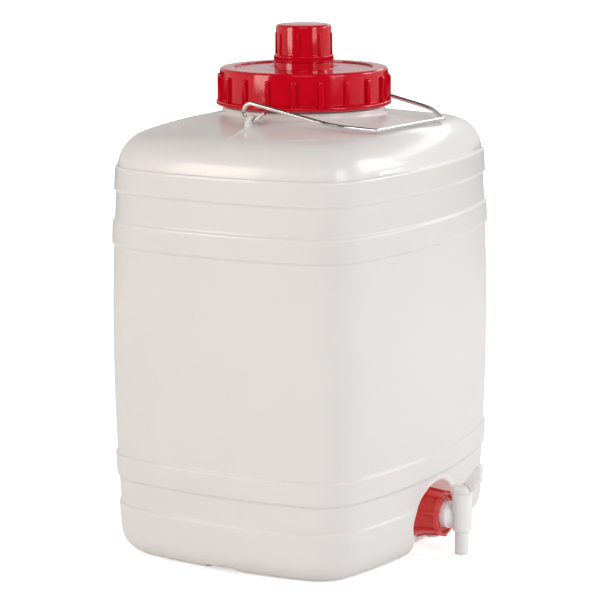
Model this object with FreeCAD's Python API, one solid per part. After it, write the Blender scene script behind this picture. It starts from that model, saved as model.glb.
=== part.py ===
"""A drum for liquids: moulded square body, screw lid with a pouring spout and its own cap, wire bail, tap.

Millimetres, +Z up. The tap faces -Y, and the mould's parting plane, with both bail lugs, is X-Z.
The pieces are built about the drum's upright axis. At the end they all move by axis_shift along Y,
so that the origin is the centre of the whole part's box, on the surface that the drum stands on.
"""
import FreeCAD, Part
import math
import os

V = FreeCAD.Vector
ACROSS = V(1, 0, 0)
BACK = V(0, 1, 0)
FRONT = V(0, -1, 0)
UP = V(0, 0, 1)
near = 1e-3

# Drum body, measured over the bulged sides at mid height
body_width = 267.0
body_depth = 227.0
side_radius = 418.0
front_radius = 387.0
corner_radius = 38.0
barrel_radius = 1950.0
wall = 2.2
shoulder_edge = 304.6
shoulder_rounding = 24.0
base_rounding = 17.5

# Bands that stand proud of the sides, two hung below the shoulder's edge and two set up from the base
band_step = 1.6
top_band_drop = 20.7
top_band_width = 17.6
upper_band_gap = 21.5
second_band_width = 16.8
foot_band_width = 38.0
lower_band_gap = 20.0
lower_band_width = 17.2

# Base: a standing rim round a raised panel, crossed by the mould's pinch-off channel
rim_width = 13.0
base_recess = 3.0
channel_width = 26.0
channel_depth = 4.0

# Neck
shoulder_rise = 10.4
neck_root_step = 3.0
collar_step = 2.5
collar_height = 5.8
neck_radius = 56.5
neck_height = 28.0
neck_wall = 3.0

# Screw lid
gasket_thickness = 2.0
gasket_overhang = 0.8
thread_gap = 0.7
lid_plate = 2.6
lid_wall = 3.8
lid_rim_gap = 1.5
lid_rounding = 1.6
lid_border = 10.6
lid_recess = 1.2
lid_lip = 2.7
lid_lip_height = 3.0
lid_ribs = 20
lid_rib_proud = 2.3
lid_rib_width = 3.2
lid_rib_drop = 5.0
lid_rib_phase = 4.7
rib_sunk = 1.0

# Spout on the lid
spout_radius = 17.5
spout_wall = 2.6
spout_height = 27.6
spout_collar_step = 3.9
spout_collar_height = 4.9

# Cap on the spout
liner_thickness = 1.5
cap_plate = 2.8
cap_wall = 2.3
cap_rim_gap = 0.4
cap_rounding = 1.8
cap_ring_step = 1.5
cap_ring_height = 4.6
cap_thread_gap = 0.4
cap_ribs = 8
cap_rib_proud = 0.9
cap_rib_width = 2.6
cap_rib_drop = 6.0
cap_rib_phase = 18.6

# Lugs for the bail, in the parting plane
lug_clearance = 11.1
lug_width = 12.4
lug_thickness = 3.5
lug_height = 11.0
lug_rounding = 4.0
lug_hole_radius = 3.0
lug_strip = 6.7

# Bail, folded down over the front shoulder
wire_radius = 1.5
eye_radius = 6.35
eye_turn = 226.8
eye_tail = 9.0
bail_arm = 57.0
bail_length = 84.4
grip_half = 54.0
bend_radius = 12.0
grip_bend_radius = 5.5
bail_rest_gap = 0.45

# Tap seat: an arched niche in the front, open at the base, with a hollow threaded boss
tap_height = 28.5
niche_setback = 21.0
niche_finger_room = 10.5
niche_arch_drop = 8.5
niche_flare = 15.0
niche_toe_rounding = 8.0
boss_radius = 13.2
boss_bore = 9.0
boss_length = 19.5

# Ring nut that clamps the tap on the boss
nut_wall = 1.1
nut_taper = 1.8
nut_flare = 3.2
nut_skirt_length = 8.5
nut_length = 24.5
nut_ribs = 7
nut_rib_proud = 1.4
nut_rib_width = 2.2
nut_rib_phase = 26.5
nut_thread_gap = 0.3
nut_gap = 1.0
nut_hole_gap = 0.4
tap_gasket_thickness = 1.5

# Tap body
flange_inset = 0.6
flange_thickness = 2.5
tap_neck_radius = 10.0
tap_neck_length = 5.5
tap_reach = 16.8
tap_hub_radius = 6.2
barrel_wall = 1.9
barrel_rim_wall = 2.0
barrel_rise = 18.0
barrel_drop = 10.5
outlet_radius = 5.0
outlet_end = 1.0
outlet_bore = 3.4
inlet_bore = 3.4

# Tap plug, a slow taper turned by its lever
plug_radius_low = 4.9
plug_radius_high = 5.5
plug_gap = 0.06
plug_floor = 1.6
plug_end_gap = 0.2
plug_bore = 3.0
plug_head_lip = 0.5
plug_head_height = 6.4
plug_head_rounding = 4.0
plug_head_gap = 0.3
lever_thickness = 4.4
lever_reach = 16.2
lever_rise = 21.7
lever_tip_width = 3.3
lever_end_height = 10.8
lever_root_height = 5.0
lever_throat = (11.2, 3.7)
lever_rounding = 1.2

# Places worked out from the sizes above
top_band = (shoulder_edge - top_band_drop - top_band_width, shoulder_edge - top_band_drop)
second_band = (top_band[0] - upper_band_gap - second_band_width, top_band[0] - upper_band_gap)
foot_band = (0.0, foot_band_width)
lower_band = (foot_band[1] + lower_band_gap, foot_band[1] + lower_band_gap + lower_band_width)
mid_height = (lower_band[1] + second_band[0]) / 2
neck_root_height = shoulder_edge + shoulder_rise
collar_radius = neck_radius + collar_step
collar_top = neck_root_height + collar_height
neck_root_radius = collar_radius + neck_root_step
neck_top = neck_root_height + neck_height
lid_ceiling = neck_top + gasket_thickness
lid_floor = lid_ceiling + lid_plate
lid_top = lid_floor + lid_recess
lid_rim = collar_top + lid_rim_gap
lid_radius = neck_radius + thread_gap + lid_wall
lid_recess_radius = lid_radius - lid_border
spout_top = lid_floor + spout_height
spout_collar_radius = spout_radius + spout_collar_step
cap_ceiling = spout_top + liner_thickness
cap_top = cap_ceiling + cap_plate
cap_rim = lid_floor + spout_collar_height + cap_rim_gap
cap_radius = spout_radius + cap_thread_gap + cap_wall
cap_ring_radius = cap_radius + cap_ring_step
lug_reach = lid_radius + lid_lip + lug_clearance
lug_top = neck_root_height + lug_height
pivot_height = lug_top - lug_strip / 2
niche_floor = body_depth / 2 - niche_setback
boss_end = niche_floor + boss_length
flange_back = boss_end + tap_gasket_thickness
flange_front = flange_back + flange_thickness
nut_back = niche_floor + nut_gap
nut_front = nut_back + nut_length
nut_front_radius = boss_radius + nut_thread_gap + nut_wall
nut_waist_radius = nut_front_radius + nut_taper
nut_radius = nut_waist_radius + nut_flare
niche_half_width = nut_radius + nut_rib_proud + niche_finger_room
niche_arch_height = tap_height - niche_arch_drop
flange_radius = boss_radius - flange_inset
tap_axis = flange_back + tap_reach
barrel_top = tap_height + barrel_rise
barrel_step = tap_height - barrel_drop
barrel_radius_low = plug_radius_low + barrel_wall
barrel_radius_high = plug_radius_high + barrel_rim_wall
plug_head_radius = barrel_radius_high + plug_head_lip
plug_seat = barrel_step + plug_floor
# The grip lies on the slope from the shoulder's front edge to the neck's root
shoulder_front = body_depth / 2 - (shoulder_edge - mid_height) ** 2 / (2 * barrel_radius)
shoulder_slope = shoulder_rise / (shoulder_front - neck_root_radius)
grip_height = shoulder_edge + shoulder_slope * (shoulder_front - bail_length) + wire_radius + bail_rest_gap
bail_rest_angle = math.degrees(math.asin((pivot_height - grip_height) / math.hypot(bail_length, eye_radius))
                               + math.atan2(eye_radius, bail_length))
axis_shift = (tap_axis + lever_reach - body_depth / 2) / 2


def tube(outer, inner, low, high):
    """An upright ring."""
    ring = Part.makeCylinder(outer, high - low, V(0, 0, low))
    return ring.cut(Part.makeCylinder(inner, high - low, V(0, 0, low)))


def revolved(profile):
    """A solid of revolution about the drum's axis, from (radius, height) points."""
    points = [V(r, 0, z) for r, z in profile]
    face = Part.Face(Part.makePolygon(points + points[:1]))
    return face.revolve(V(0, 0, 0), UP, 360)


def side_centres(z):
    """How far the centres of the side arcs lie behind the axis, for the X sides and the Y sides."""
    sag = (z - mid_height) ** 2 / (2 * barrel_radius)
    return side_radius - (body_width / 2 - sag), front_radius - (body_depth / 2 - sag)


def corner_centre(z):
    """The corner arc's centre in the first quadrant, where both side arcs are tangent to it."""
    back_x, back_y = side_centres(z)
    r1, r2 = side_radius - corner_radius, front_radius - corner_radius
    apart = math.hypot(back_x, back_y)
    along = (r1 ** 2 - r2 ** 2 + apart ** 2) / (2 * apart)
    across = math.sqrt(r1 ** 2 - along ** 2)
    ux, uy = back_x / apart, -back_y / apart
    return V(-back_x + along * ux - across * uy, along * uy + across * ux, z)


def eight_arcs(side_mid, side_end, corner_mid, front_end, front_mid):
    """A closed plan of four sides and four corners, from its five points in the first quadrant."""
    def arc(start, middle, end, turns):
        placed = [V(p.x * sx, p.y * sy, p.z) for p, (sx, sy) in zip((start, middle, end), turns)]
        return Part.Arc(*placed).toShape()

    edges = []
    for sx, sy in ((1, 1), (-1, 1), (-1, -1), (1, -1)):
        here = (sx, sy)
        if sx == sy:
            edges.append(arc(side_end, corner_mid, front_end, (here, here, here)))
            edges.append(arc(front_end, front_mid, front_end, (here, here, (-sx, sy))))
        else:
            edges.append(arc(front_end, corner_mid, side_end, (here, here, here)))
            edges.append(arc(side_end, side_mid, side_end, (here, here, (sx, -sy))))
    return Part.Wire(edges)


def outline(z, inset):
    """The body's plan at a height: four bulged sides and four round corners, moved in by inset."""
    back_x, back_y = side_centres(z)
    corner = corner_centre(z)
    to_side = (corner - V(-back_x, 0, z)).normalize()
    to_front = (corner - V(0, -back_y, z)).normalize()
    reach = corner_radius - inset
    side_mid = V(side_radius - back_x - inset, 0, z)
    front_mid = V(0, front_radius - back_y - inset, z)
    corner_mid = corner + (to_side + to_front).normalize() * reach
    side_end, front_end = corner + to_side * reach, corner + to_front * reach
    return eight_arcs(side_mid, side_end, corner_mid, front_end, front_mid)


def ring_outline(z, radius):
    """A circle in eight arcs that start where the plan's arcs start, so that both can be lofted."""
    corner = corner_centre(z)
    back_x, back_y = side_centres(z)
    to_side = (corner - V(-back_x, 0, z)).normalize()
    to_front = (corner - V(0, -back_y, z)).normalize()
    to_corner = (to_side + to_front).normalize()
    ways = [ACROSS, BACK] + [corner + way * corner_radius for way in (to_side, to_corner, to_front)]
    side_mid, front_mid, side_end, corner_mid, front_end = [
        V(way.x, way.y, 0).normalize() * radius + V(0, 0, z) for way in ways]
    return eight_arcs(side_mid, side_end, corner_mid, front_end, front_mid)


def barrel(low, high, inset):
    """The body's sides between two heights, bulged both ways."""
    count = 5
    heights = [low + (high - low) * i / (count - 1) for i in range(count)]
    return Part.makeLoft([outline(z, inset) for z in heights], True, False)


def level_edges(shape, z):
    """The edges that lie flat at a height."""
    return [e for e in shape.Edges if abs(e.BoundBox.ZMin - z) < near and abs(e.BoundBox.ZMax - z) < near]


def niche(inset):
    """The arched niche for the tap, flaring forward and open at the base, its walls moved out by inset."""
    flare = math.radians(niche_flare)
    depth = 2 * niche_setback
    floor = niche_floor - inset
    half = niche_half_width + inset * math.tan((math.pi / 2 - flare) / 2)
    mouth = half + depth * math.tan(flare)
    arch = Part.makeCone(half, mouth, depth, V(0, -floor, niche_arch_height), FRONT)
    plan = [V(-half, -floor, 0), V(half, -floor, 0), V(mouth, -floor - depth, 0), V(-mouth, -floor - depth, 0)]
    gate = Part.Face(Part.makePolygon(plan + plan[:1])).extrude(UP * niche_arch_height)
    toe = Part.makeBox(2 * half, niche_toe_rounding - inset, niche_toe_rounding, V(-half, -floor, 0))
    rounding = Part.makeCylinder(niche_toe_rounding - inset, 2 * half,
                                 V(-half, niche_toe_rounding - niche_floor, niche_toe_rounding), ACROSS)
    return arch.fuse([gate, toe.cut(rounding)])


def drum_form(inset):
    """The body's closed form below the neck: inset 0 is the outside, and a wall's thickness the cavity."""
    edge = shoulder_edge - inset
    form = barrel(inset, edge, inset)
    root = ring_outline(neck_root_height - inset, neck_root_radius - inset)
    form = form.fuse(Part.makeLoft([outline(edge, inset), root], True, True))
    for low, high in (top_band, second_band, lower_band, foot_band):
        form = form.fuse(barrel(low + inset, high - inset, inset - band_step))
    form = form.makeFillet(shoulder_rounding - inset, level_edges(form, edge))
    form = form.makeFillet(base_rounding - inset, level_edges(form, inset))
    panel_inset = base_rounding + rim_width - inset
    panel = Part.makeLoft([outline(0, panel_inset), outline(base_recess + inset, panel_inset)], True, True)
    channel = Part.makeBox(body_width, channel_width + 2 * inset, channel_depth + inset,
                           V(-body_width / 2, -channel_width / 2 - inset, 0))
    return form.cut(panel).cut(channel).cut(niche(inset))


def lug(side):
    """A flat lug with its hole for the bail's eye. It stands on the shoulder, in the parting plane."""
    plate = Part.makeBox(lug_width, lug_thickness, lug_height + neck_root_height - shoulder_edge,
                         V(side * lug_reach - lug_width / 2, -lug_thickness / 2, shoulder_edge))
    corners = [e for e in level_edges(plate, lug_top) if e.BoundBox.YLength > lug_thickness / 2]
    plate = plate.makeFillet(lug_rounding, corners)
    hole_height = pivot_height - eye_radius
    hole = Part.makeCylinder(lug_hole_radius, 2 * lug_thickness,
                             V(side * lug_reach, -lug_thickness, hole_height), BACK)
    return plate.cut(hole)


def make_drum_body():
    """Blow-moulded body in one piece: sides, shoulder, neck, lugs and tap boss."""
    outside = drum_form(0)
    neck_foot = V(0, 0, shoulder_edge)
    outside = outside.fuse(Part.makeCylinder(collar_radius, collar_top - shoulder_edge, neck_foot))
    outside = outside.fuse(Part.makeCylinder(neck_radius, neck_top - shoulder_edge, neck_foot))
    boss = Part.makeCylinder(boss_radius, boss_length + wall, V(0, -niche_floor + wall, tap_height), FRONT)
    cavity = drum_form(wall)
    mouth = Part.makeCylinder(neck_radius - neck_wall, neck_top - shoulder_edge + wall,
                              V(0, 0, shoulder_edge - wall))
    bore = Part.makeCylinder(boss_bore, boss_length + 3 * wall,
                             V(0, -niche_floor + 2 * wall, tap_height), FRONT)
    body = outside.fuse(boss).cut(cavity)
    for side in (-1, 1):
        body = body.fuse(lug(side))
    return body.cut(mouth).cut(bore)


def pill_rib(radius, proud, width, low, high, angle):
    """An upright grip rib with a rounded top, its back sunk in a round skirt."""
    r = width / 2
    depth = proud + rib_sunk
    rib = Part.makeBox(depth, width, high - r - low, V(radius - rib_sunk, -r, low))
    rib = rib.fuse(Part.makeCylinder(r, depth, V(radius - rib_sunk, 0, high - r), ACROSS))
    rib.rotate(V(0, 0, 0), UP, angle)
    return rib


def make_lid():
    """Screw lid with its grip ribs, shallow top recess and hollow spout, moulded in one piece."""
    inner = neck_radius + thread_gap
    rounded = revolved([
        (0, lid_rim), (lid_radius + lid_lip, lid_rim), (lid_radius + lid_lip, lid_rim + lid_lip_height),
        (lid_radius, lid_rim + lid_lip_height), (lid_radius, lid_top), (0, lid_top)])
    rounded = rounded.makeFillet(lid_rounding, level_edges(rounded, lid_top))
    ribs = [pill_rib(lid_radius, lid_rib_proud, lid_rib_width, lid_rim + lid_lip_height / 2,
                     lid_top - lid_rib_drop, lid_rib_phase + 360 / lid_ribs * i) for i in range(lid_ribs)]
    lid = rounded.fuse(ribs)
    lid = lid.cut(Part.makeCylinder(inner, lid_ceiling - lid_rim, V(0, 0, lid_rim)))
    lid = lid.cut(Part.makeCylinder(lid_recess_radius, lid_recess, V(0, 0, lid_floor)))
    lid = lid.fuse(Part.makeCylinder(spout_collar_radius, spout_collar_height, V(0, 0, lid_floor)))
    lid = lid.fuse(Part.makeCylinder(spout_radius, spout_height, V(0, 0, lid_floor)))
    return lid.cut(Part.makeCylinder(spout_radius - spout_wall, spout_top - lid_rim, V(0, 0, lid_rim)))


def make_lid_gasket():
    """Flat ring between the neck's rim and the lid."""
    return tube(neck_radius, neck_radius - neck_wall - gasket_overhang, neck_top, lid_ceiling)


def make_spout_cap():
    """Small ribbed cap on the spout."""
    cap = revolved([
        (0, cap_rim), (cap_ring_radius, cap_rim), (cap_ring_radius, cap_rim + cap_ring_height),
        (cap_radius, cap_rim + cap_ring_height), (cap_radius, cap_top), (0, cap_top)])
    cap = cap.makeFillet(cap_rounding, level_edges(cap, cap_top))
    ribs = [pill_rib(cap_radius, cap_rib_proud, cap_rib_width, cap_rim + cap_ring_height / 2,
                     cap_top - cap_rib_drop, cap_rib_phase + 360 / cap_ribs * i)
            for i in range(cap_ribs)]
    cap = cap.fuse(ribs)
    return cap.cut(Part.makeCylinder(spout_radius + cap_thread_gap, cap_ceiling - cap_rim, V(0, 0, cap_rim)))


def make_cap_liner():
    """Sealing disc in the small cap."""
    return Part.makeCylinder(spout_radius, liner_thickness, V(0, 0, spout_top))


def make_bail_handle():
    """Steel wire bail, an eye round each lug's strip, made flat and then laid down at its rest angle."""
    def corner_arc(before, corner, after, radius):
        """The rounded corner of a path, with the two points where it starts and ends."""
        a, b = (before - corner).normalize(), (after - corner).normalize()
        half = a.getAngle(b) / 2
        start, end = corner + a * (radius / math.tan(half)), corner + b * (radius / math.tan(half))
        centre = corner + (a + b).normalize() * (radius / math.sin(half))
        mid = centre + (corner - centre).normalize() * radius
        return start, Part.Arc(start, mid, end).toShape(), end

    def on_eye(angle):
        a = math.radians(angle)
        return V(lug_reach, eye_radius * math.cos(a), eye_radius * math.sin(a))

    top = 90.0
    last = math.radians(top - eye_turn)
    tail_start = on_eye(top - eye_turn)
    tail_end = tail_start + V(0, math.sin(last), -math.cos(last)) * eye_tail
    eye_start = on_eye(top)
    arm_corner = V(lug_reach, -bail_arm, eye_radius)
    grip_corner = V(grip_half, -bail_length, eye_radius)
    grip_middle = V(0, -bail_length, eye_radius)
    bend_start, bend, bend_end = corner_arc(eye_start, arm_corner, grip_corner, bend_radius)
    turn_start, turn, turn_end = corner_arc(arm_corner, grip_corner, grip_middle, grip_bend_radius)
    half = [
        Part.LineSegment(tail_end, tail_start).toShape(),
        Part.Arc(tail_start, on_eye(top - eye_turn / 2), eye_start).toShape(),
        Part.LineSegment(eye_start, bend_start).toShape(),
        bend,
        Part.LineSegment(bend_end, turn_start).toShape(),
        turn,
        Part.LineSegment(turn_end, grip_middle).toShape(),
    ]
    section = Part.Wire(Part.makeCircle(wire_radius, tail_end, tail_start - tail_end))
    wire = Part.Wire(half).makePipeShell([section], True, True)
    bail = wire.fuse(wire.mirror(V(0, 0, 0), ACROSS)).removeSplitter()
    bail.rotate(V(0, 0, 0), ACROSS, bail_rest_angle)
    bail.translate(V(0, 0, pivot_height))
    return bail


def nut_form(proud):
    """The ring nut's closed form, a flared skirt and a slimmer front, its surface moved out by proud."""
    back, waist = V(0, -nut_back, tap_height), V(0, -nut_back - nut_skirt_length, tap_height)
    skirt = Part.makeCone(nut_radius + proud, nut_waist_radius + proud, nut_skirt_length, back, FRONT)
    front = Part.makeCone(nut_waist_radius + proud, nut_front_radius + proud,
                          nut_length - nut_skirt_length, waist, FRONT)
    return skirt.fuse(front)


def make_tap_nut():
    """Ribbed ring nut with a web that holds the tap's flange."""
    centre = V(0, -nut_back, tap_height)
    ribs = []
    for i in range(nut_ribs):
        rib = Part.makeBox(nut_rib_width, nut_length, 2 * nut_radius, V(-nut_rib_width / 2, -nut_front, tap_height))
        rib.rotate(centre, FRONT, nut_rib_phase + 360 / nut_ribs * i)
        ribs.append(rib.common(nut_form(nut_rib_proud)))
    nut = nut_form(0).fuse(ribs)
    nut = nut.cut(Part.makeCylinder(boss_radius + nut_thread_gap, flange_front - nut_back, centre, FRONT))
    return nut.cut(Part.makeCylinder(tap_neck_radius + nut_hole_gap, nut_length, centre, FRONT))


def make_tap_gasket():
    """Ring between the boss and the tap's flange."""
    seat = V(0, -boss_end, tap_height)
    ring = Part.makeCylinder(flange_radius, tap_gasket_thickness, seat, FRONT)
    return ring.cut(Part.makeCylinder(boss_bore, tap_gasket_thickness, seat, FRONT))


def plug_taper(gap, low):
    """The plug's tapered stem from its lower end, or with a gap the seat that it turns in."""
    high = barrel_top + plug_head_gap
    return Part.makeCone(plug_radius_low + gap, plug_radius_high + gap, high - low, V(0, -tap_axis, low))


def make_tap_body():
    """Tap body in one piece: flange, neck, upright barrel and outlet."""
    flange = Part.makeCylinder(flange_radius, flange_thickness, V(0, -flange_back, tap_height), FRONT)
    neck_end = flange_front + tap_neck_length
    neck = Part.makeCylinder(tap_neck_radius, tap_neck_length, V(0, -flange_front, tap_height), FRONT)
    hub = Part.makeCone(tap_neck_radius, tap_hub_radius, tap_axis - neck_end,
                        V(0, -neck_end, tap_height), FRONT)
    barrel_solid = Part.makeCone(barrel_radius_low, barrel_radius_high, barrel_top - barrel_step,
                                 V(0, -tap_axis, barrel_step))
    outlet = Part.makeCylinder(outlet_radius, barrel_step - outlet_end, V(0, -tap_axis, outlet_end))
    body = flange.fuse([neck, hub, barrel_solid, outlet])
    body = body.cut(plug_taper(plug_gap, plug_seat))
    body = body.cut(Part.makeCylinder(outlet_bore, plug_seat, V(0, -tap_axis, 0)))
    return body.cut(Part.makeCylinder(inlet_bore, tap_reach, V(0, -flange_back, tap_height), FRONT))


def make_tap_plug():
    """Plug with an elbow bore from the inlet down to the outlet, a domed head and a thumb lever."""
    low = plug_seat + plug_end_gap
    foot = V(0, -tap_axis, barrel_top + plug_head_gap)
    head = Part.makeCylinder(plug_head_radius, plug_head_height, foot)
    head = head.makeFillet(plug_head_rounding, level_edges(head, foot.z + plug_head_height))
    profile = [
        (0, 0), (plug_head_radius, 0), lever_throat, (lever_reach, lever_rise - lever_end_height),
        (lever_reach, lever_rise), (lever_reach - lever_tip_width, lever_rise), (0, lever_root_height)]
    points = [foot + V(-lever_thickness / 2, -reach, height) for reach, height in profile]
    lever = Part.Face(Part.makePolygon(points + points[:1])).extrude(V(lever_thickness, 0, 0))
    lever = lever.makeFillet(lever_rounding, level_edges(lever, foot.z + lever_rise))
    plug = plug_taper(0, low)
    down = Part.makeCylinder(plug_bore, tap_height - low, V(0, -tap_axis, low))
    across = Part.makeCylinder(plug_bore, plug_radius_high * 2, V(0, -tap_axis, tap_height), BACK)
    turn = Part.makeSphere(plug_bore, V(0, -tap_axis, tap_height))
    return plug.cut(down).cut(across).cut(turn).fuse([head, lever])


PIECES = {
    "drum_body": make_drum_body,
    "lid": make_lid,
    "lid_gasket": make_lid_gasket,
    "spout_cap": make_spout_cap,
    "cap_liner": make_cap_liner,
    "bail_handle": make_bail_handle,
    "tap_nut": make_tap_nut,
    "tap_gasket": make_tap_gasket,
    "tap_body": make_tap_body,
    "tap_plug": make_tap_plug,
}

os.makedirs("parts", exist_ok=True)
for name, make in PIECES.items():
    shape = make()
    shape.translate(V(0, axis_shift, 0))
    shape.exportStep("parts/" + name + ".step")
    print(name, "solids", len(shape.Solids), "valid", shape.isValid(), "volume", round(shape.Volume))
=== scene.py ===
# %% [markdown]
# # A plastic drum with a tap
#
# This is a drum for liquids: a hollow body blown from white, slightly see-through plastic, a big red
# screw lid with a small capped spout, a wire bail to carry it, and a tap held in the front by a red ring nut.
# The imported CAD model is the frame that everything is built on. It gives each piece its place and size, and
# this script gives the pieces their soft edges, their threads and their finishes.

# %% The frame
import math

import bmesh
import bpy
from mathutils import Matrix, Vector


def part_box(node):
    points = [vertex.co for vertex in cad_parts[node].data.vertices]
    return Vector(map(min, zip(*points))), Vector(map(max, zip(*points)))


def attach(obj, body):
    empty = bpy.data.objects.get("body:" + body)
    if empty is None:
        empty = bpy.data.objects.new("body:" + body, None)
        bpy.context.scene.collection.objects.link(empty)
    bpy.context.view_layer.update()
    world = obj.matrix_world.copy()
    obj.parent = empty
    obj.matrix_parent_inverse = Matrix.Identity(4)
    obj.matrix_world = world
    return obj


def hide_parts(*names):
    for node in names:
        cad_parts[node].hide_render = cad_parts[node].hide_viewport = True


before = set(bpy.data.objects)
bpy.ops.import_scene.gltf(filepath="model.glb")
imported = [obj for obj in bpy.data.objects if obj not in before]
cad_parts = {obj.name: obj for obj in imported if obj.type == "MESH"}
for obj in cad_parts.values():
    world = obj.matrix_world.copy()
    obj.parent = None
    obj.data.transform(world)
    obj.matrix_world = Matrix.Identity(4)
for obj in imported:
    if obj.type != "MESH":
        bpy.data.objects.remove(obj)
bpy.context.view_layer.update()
lid_low, lid_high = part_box("lid")
AXIS_Y = (lid_low.y + lid_high.y) / 2

# %% [markdown]
# ## Helpers
#
# Sizes of moulded plastic are easiest to read in millimetres, so lengths below are written in millimetres
# round the drum's upright axis, and one helper turns a finished bmesh into a piece: it scales it to metres,
# moves it to the axis and lets it ride on its body. A piece stays at the origin with its place in its mesh.

# %% Finishing a piece
MM = 0.001
pieces = {}


def finish_piece(bm, name, body, nodes=(), sharp=40.0):
    """A bmesh in millimetres round the drum's axis becomes a piece in the frame."""
    bmesh.ops.remove_doubles(bm, verts=bm.verts, dist=0.002)
    bmesh.ops.dissolve_degenerate(bm, edges=bm.edges, dist=0.0005)
    bmesh.ops.scale(bm, verts=bm.verts, vec=(MM, MM, MM))
    bmesh.ops.translate(bm, verts=bm.verts, vec=(0, AXIS_Y, 0))
    bmesh.ops.recalc_face_normals(bm, faces=bm.faces)
    mesh = bpy.data.meshes.new(name)
    bm.to_mesh(mesh)
    bm.free()
    mesh.shade_smooth()
    mesh.set_sharp_from_angle(angle=math.radians(sharp))
    piece = bpy.data.objects.new(name, mesh)
    bpy.context.scene.collection.objects.link(piece)
    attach(piece, body)
    if nodes:
        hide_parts(*nodes)
    pieces[name] = piece
    print(name, "faces", len(mesh.polygons))


# %% [markdown]
# An operator hands back all that it made in one list. Three small helpers pick out what the next step needs,
# and one rounds edges.

# %% Picking and rounding
def points_in(geom):
    return [g for g in geom if isinstance(g, bmesh.types.BMVert)]


def open_edges_in(geom):
    return [g for g in geom if isinstance(g, bmesh.types.BMEdge) and g.is_boundary]


def all_of(bm):
    return list(bm.verts) + list(bm.edges) + list(bm.faces)


def round_edges(bm, edges, by, steps):
    """Rounds edges, and less where there is no room."""
    bmesh.ops.bevel(bm, geom=edges, offset=by, offset_type="OFFSET", segments=steps, profile=0.5,
                    affect="EDGES", clamp_overlap=True, material=-1)


# %% [markdown]
# Most pieces here are turned: a profile spun about an axis. The profile is drawn as corners, each with its
# radius, its height and how much the mould rounds it, and the roundings are true arcs. The spin of a full
# turn merges its last ring with its first.

# %% Turning a profile
def soften(corners, closed, steps=4):
    """Turns (radius, height, rounding) corners into points, with an arc in place of each rounded corner."""
    points = []
    for i, (r, z, rounding) in enumerate(corners):
        here = Vector((r, z))
        if not rounding or (not closed and i in (0, len(corners) - 1)):
            points.append(here)
            continue
        before, after = Vector(corners[i - 1][:2]), Vector(corners[(i + 1) % len(corners)][:2])
        a, b = (before - here).normalized(), (after - here).normalized()
        half = a.angle(b) / 2
        centre = here + (a + b).normalized() * (rounding / math.sin(half))
        spoke = here + a * (rounding / math.tan(half)) - centre
        sweep = (math.pi - 2 * half) * (1 if b.x * a.y - b.y * a.x > 0 else -1)
        points += [centre + Matrix.Rotation(sweep * k / steps, 2) @ spoke for k in range(steps + 1)]
    return points


def turn_profile(bm, corners, steps=128, closed=True):
    """Spins a profile about the upright axis."""
    verts = [bm.verts.new((point.x, 0, point.y)) for point in soften(corners, closed)]
    pairs = list(zip(verts, verts[1:]))
    if closed:
        pairs.append((verts[-1], verts[0]))
    edges = [bm.edges.new(pair) for pair in pairs]
    bmesh.ops.spin(bm, geom=verts + edges, cent=(0, 0, 0), axis=(0, 0, 1), angle=2 * math.pi,
                   steps=steps, use_merge=True)
    bmesh.ops.remove_doubles(bm, verts=bm.verts, dist=0.001)


def array_round(bm, geom, count):
    """Copies geometry round the upright axis until there are count of it."""
    bmesh.ops.spin(bm, geom=geom, cent=(0, 0, 0), axis=(0, 0, 1), angle=2 * math.pi * (count - 1) / count,
                   steps=count - 1, use_duplicate=True)


# %% [markdown]
# ## The drum body
#
# The real body is blown: a soft plastic tube is caught between two mould halves and pressed outwards, so
# every corner is round and all walls are about equally thick. In plan it has four bulged sides joined by
# round corners, and upwards it bulges like a barrel. It could be a subdivided box, but then the bulges and
# the bands would drift. A better way is one ring of points that knows where it lies on the plan, extruded
# upwards ring by ring. Each point remembers its station, a place on the plan, in an integer layer.

# %% The plan of the body
WIDTH, DEPTH = 267.0, 227.0
SIDE_R, FRONT_R, CORNER_R, BARREL_R = 418.0, 387.0, 38.0, 1950.0
MID_Z, EDGE_Z = 151.6, 304.6
EDGE_ROUND, NECK_ROOT, ROOT_Z = 24.0, 62.0, 315.0
WALL = 2.2


def plan_point(part, t, z, inset):
    """A point of the plan's first quadrant at height z, moved in by inset."""
    sag = (z - MID_Z) ** 2 / (2 * BARREL_R)
    back_x = SIDE_R - (WIDTH / 2 - sag)
    back_y = FRONT_R - (DEPTH / 2 - sag)
    r1, r2, apart = SIDE_R - CORNER_R, FRONT_R - CORNER_R, math.hypot(back_x, back_y)
    along = (r1 ** 2 - r2 ** 2 + apart ** 2) / (2 * apart)
    across = math.sqrt(r1 ** 2 - along ** 2)
    cx = -back_x + (along * back_x + across * back_y) / apart
    cy = (across * back_x - along * back_y) / apart
    a_side = math.atan2(cy, cx + back_x)
    a_front = math.atan2(cy + back_y, cx)
    if part == "side":
        a, r, ox, oy = a_side * t, SIDE_R - inset, -back_x, 0.0
    elif part == "corner":
        a, r, ox, oy = a_side + (a_front - a_side) * t, CORNER_R - inset, cx, cy
    else:
        a, r, ox, oy = a_front + (math.pi / 2 - a_front) * t, FRONT_R - inset, 0.0, -back_y
    return ox + r * math.cos(a), oy + r * math.sin(a)


# %% [markdown]
# The stations lie closer together where something small happens: on the front round the tap's niche, and
# on the sides where the mould's pinch-off channel crosses the base.

# %% Stations round the plan
side_t = [y / 79 for y in (0, 1, 2, 3, 4.5, 6.5, 9, 11, 12, 13, 14, 15, 18, 26, 36, 47, 58, 69)]
corner_t = [i / 10 for i in range(10)]
back_t = [i / 12 for i in range(12)]
front_t = [i / 5 * 0.35 for i in range(5)] + [0.35 + i / 50 * 0.65 for i in range(50)]


def quadrant(front_list):
    """Stations of one quadrant from its side's middle to its front's middle, without the last."""
    parts = (("side", side_t), ("corner", corner_t), ("front", front_list))
    return [(part, t) for part, places in parts for t in places]


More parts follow.
